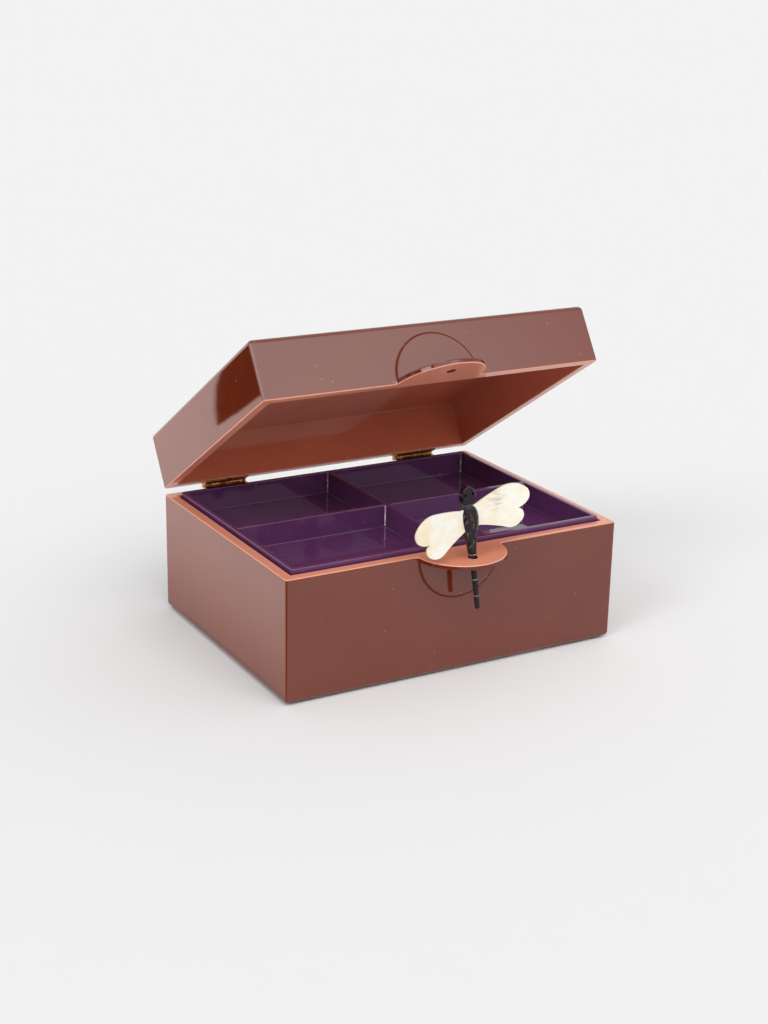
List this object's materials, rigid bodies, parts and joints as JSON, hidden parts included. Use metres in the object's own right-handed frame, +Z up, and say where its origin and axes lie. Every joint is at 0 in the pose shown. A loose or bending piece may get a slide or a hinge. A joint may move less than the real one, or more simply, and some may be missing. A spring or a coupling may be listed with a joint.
{
  "type": "lacquer box",
  "caption": "Hinged lacquer box with a lift-out compartment tray and half-round tabs closed by a carved dragonfly on a tapered pin.",
  "frame": {"origin": "middle of the underside, on the felt sheet that the box stands on", "axes": "+Z up, -Y towards the clasp at the front, +X to the right seen from the front"},
  "size_m": [0.22, 0.214, 0.1969],
  "materials": {
    "copper_lacquer": "glossy copper-brown lacquer on board, fine dust specks",
    "purple_lacquer": "glossy purple lacquer on thin board",
    "brass": "antique brass",
    "black_horn": "carved and polished black horn",
    "pale_horn": "polished cream horn, slightly streaked",
    "felt": "dark felt",
    "bare_wood": "lacquered softwood strip"
  },
  "bodies": {
    "base": {"base_front_board": "copper_lacquer", "base_back_board": "copper_lacquer", "base_left_board": "copper_lacquer", "base_right_board": "copper_lacquer", "base_bottom_board": "copper_lacquer", "base_clasp_tab": "copper_lacquer", "base_front_disc": "copper_lacquer", "base_hinge_screws": "brass", "base_felt_sheet": "felt", "left_tray_ledge": "bare_wood", "right_tray_ledge": "bare_wood", "left_hinge_base_leaf": "brass", "right_hinge_base_leaf": "brass", "left_hinge_pin": "brass", "right_hinge_pin": "brass"},
    "lid": {"lid_front_board": "copper_lacquer", "lid_back_board": "copper_lacquer", "lid_left_board": "copper_lacquer", "lid_right_board": "copper_lacquer", "lid_top_board": "copper_lacquer", "lid_clasp_tab": "copper_lacquer", "lid_front_disc": "copper_lacquer", "lid_hinge_screws": "brass", "left_hinge_lid_leaf": "brass", "right_hinge_lid_leaf": "brass"},
    "tray": {"tray_front_wall": "purple_lacquer", "tray_back_wall": "purple_lacquer", "tray_left_wall": "purple_lacquer", "tray_right_wall": "purple_lacquer", "tray_floor": "purple_lacquer", "tray_long_divider": "purple_lacquer", "tray_cross_divider": "purple_lacquer"},
    "dragonfly": {"dragonfly_body": "black_horn", "dragonfly_left_wing": "pale_horn", "dragonfly_right_wing": "pale_horn"}
  },
  "joints": [
    {"name": "lid_hinge", "type": "hinge", "parent": "base", "child": "lid", "pos_m": [0, 0.0867, 0.07585], "axis": [-1, 0, 0], "range_deg": [-17.4, 72.6]},
    {"name": "tray_lift", "type": "slide", "parent": "base", "child": "tray", "axis": [0, 0, 1], "range_m": [0, 0.028]},
    {"name": "dragonfly_draw", "type": "slide", "parent": "base", "child": "dragonfly", "axis": [-0.1218, 0.0384, 0.9918], "range_m": [0, 0.11]}
  ]
}
